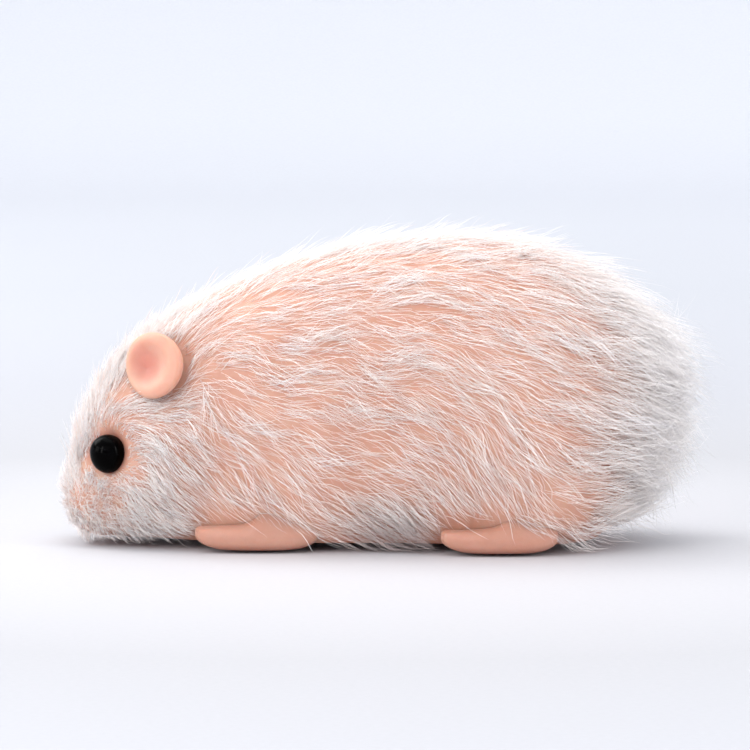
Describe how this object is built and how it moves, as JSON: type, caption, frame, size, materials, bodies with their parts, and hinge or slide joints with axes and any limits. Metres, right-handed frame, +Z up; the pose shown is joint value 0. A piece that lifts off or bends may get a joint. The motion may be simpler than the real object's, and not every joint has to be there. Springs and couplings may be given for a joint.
{
  "type": "clockwork mouse",
  "caption": "Life-like wind-up mouse: soft pink body with a pale hair coat, bead eye, bare ears and paws, over a spring motor with a winding key and hidden wheels.",
  "frame": {"origin": "centre of the whole outline on the floor under the wheels; the mouse's own mid-plane is at x = +6.2 mm because the key stands out on -X", "axes": "+Z up, the nose points to -Y and the tail end to +Y, the left flank is at +X and the key at -X"},
  "size_m": [0.0629, 0.1064, 0.0543],
  "materials": {
    "vinyl_skin": "soft matte vinyl",
    "hair": "synthetic hair",
    "ear_vinyl": "soft matte vinyl",
    "paw_vinyl": "soft matte vinyl",
    "bead_black": "glossy",
    "washer_steel": "stamped",
    "bush_brass": "turned",
    "plate_plastic": "moulded",
    "screw_steel": "zinc plated",
    "frame_steel": "stamped, zinc plated",
    "pillar_brass": "turned",
    "key_nickel": "nickel plated",
    "arbor_steel": "turned",
    "spring_steel": "blued",
    "wheel_brass": "stamped",
    "pinion_steel": "cut",
    "hub_plastic": "moulded",
    "tyre_rubber": "ribbed"
  },
  "bodies": {
    "body": {"body_skin": "vinyl_skin", "fur_coat": "hair", "left_ear": "ear_vinyl", "right_ear": "ear_vinyl", "left_eye": "bead_black", "right_eye": "bead_black", "left_eye_washer": "washer_steel", "right_eye_washer": "washer_steel", "front_left_paw": "paw_vinyl", "front_right_paw": "paw_vinyl", "rear_left_paw": "paw_vinyl", "rear_right_paw": "paw_vinyl", "key_bush": "bush_brass", "belly_plate": "plate_plastic", "motor_screws": "screw_steel", "left_motor_plate": "frame_steel", "right_motor_plate": "frame_steel", "frame_pillars": "pillar_brass", "pillar_screws": "screw_steel", "mainspring": "spring_steel"},
    "winding": {"winding_key": "key_nickel", "winding_arbor": "arbor_steel", "ratchet_wheel": "pinion_steel"},
    "great": {"great_wheel": "wheel_brass", "click_spring": "spring_steel"},
    "click": {"click": "pinion_steel"},
    "second": {"second_arbor": "arbor_steel", "second_pinion": "pinion_steel", "second_wheel": "wheel_brass"},
    "idler": {"idler_arbor": "arbor_steel", "idler_pinion": "pinion_steel"},
    "governor": {"flywheel_arbor": "arbor_steel", "flywheel_pinion": "pinion_steel", "flywheel": "wheel_brass"},
    "drive": {"drive_axle": "arbor_steel", "axle_pinion": "pinion_steel", "left_drive_hub": "hub_plastic", "right_drive_hub": "hub_plastic", "left_drive_tyre": "tyre_rubber", "right_drive_tyre": "tyre_rubber"},
    "front_wheels": {"front_axle": "arbor_steel", "left_front_wheel": "hub_plastic", "right_front_wheel": "hub_plastic"}
  },
  "joints": [
    {"name": "key_turn", "type": "hinge", "parent": "body", "child": "winding", "pos_m": [0.0062, 0.01379, 0.0283], "axis": [1, 0, 0], "range_deg": [0, 1170], "stiffness_Nm_per_rad": 0.0004, "deforming": ["mainspring"]},
    {"name": "great_wheel_turn", "type": "hinge", "parent": "body", "child": "great", "pos_m": [0.0062, 0.01379, 0.0283], "axis": [1, 0, 0], "continuous": true},
    {"name": "click_lift", "type": "hinge", "parent": "great", "child": "click", "pos_m": [0.0062, 0.01874, 0.0338], "axis": [1, 0, 0], "range_deg": [-12, 0], "stiffness_Nm_per_rad": 0.00002, "springref_deg": 5.73, "deforming": ["click_spring"]},
    {"name": "second_turn", "type": "hinge", "parent": "body", "child": "second", "pos_m": [0.0062, 0.02337, 0.02026], "axis": [1, 0, 0], "continuous": true},
    {"name": "idler_turn", "type": "hinge", "parent": "body", "child": "idler", "pos_m": [0.0062, 0.01812, 0.01117], "axis": [1, 0, 0], "continuous": true},
    {"name": "axle_turn", "type": "hinge", "parent": "body", "child": "drive", "pos_m": [0.0062, 0.02, 0.006], "axis": [1, 0, 0], "continuous": true},
    {"name": "governor_turn", "type": "hinge", "parent": "body", "child": "governor", "pos_m": [0.0062, 0.03243, 0.02449], "axis": [1, 0, 0], "continuous": true},
    {"name": "front_axle_turn", "type": "hinge", "parent": "body", "child": "front_wheels", "pos_m": [0.0062, -0.018, 0.004], "axis": [1, 0, 0], "continuous": true}
  ],
  "couplings": [
    {"joint": "great_wheel_turn", "follows": "key_turn", "ratio": 1},
    {"joint": "second_turn", "follows": "key_turn", "ratio": -4},
    {"joint": "idler_turn", "follows": "key_turn", "ratio": 10},
    {"joint": "axle_turn", "follows": "key_turn", "ratio": -12},
    {"joint": "governor_turn", "follows": "key_turn", "ratio": 12}
  ]
}
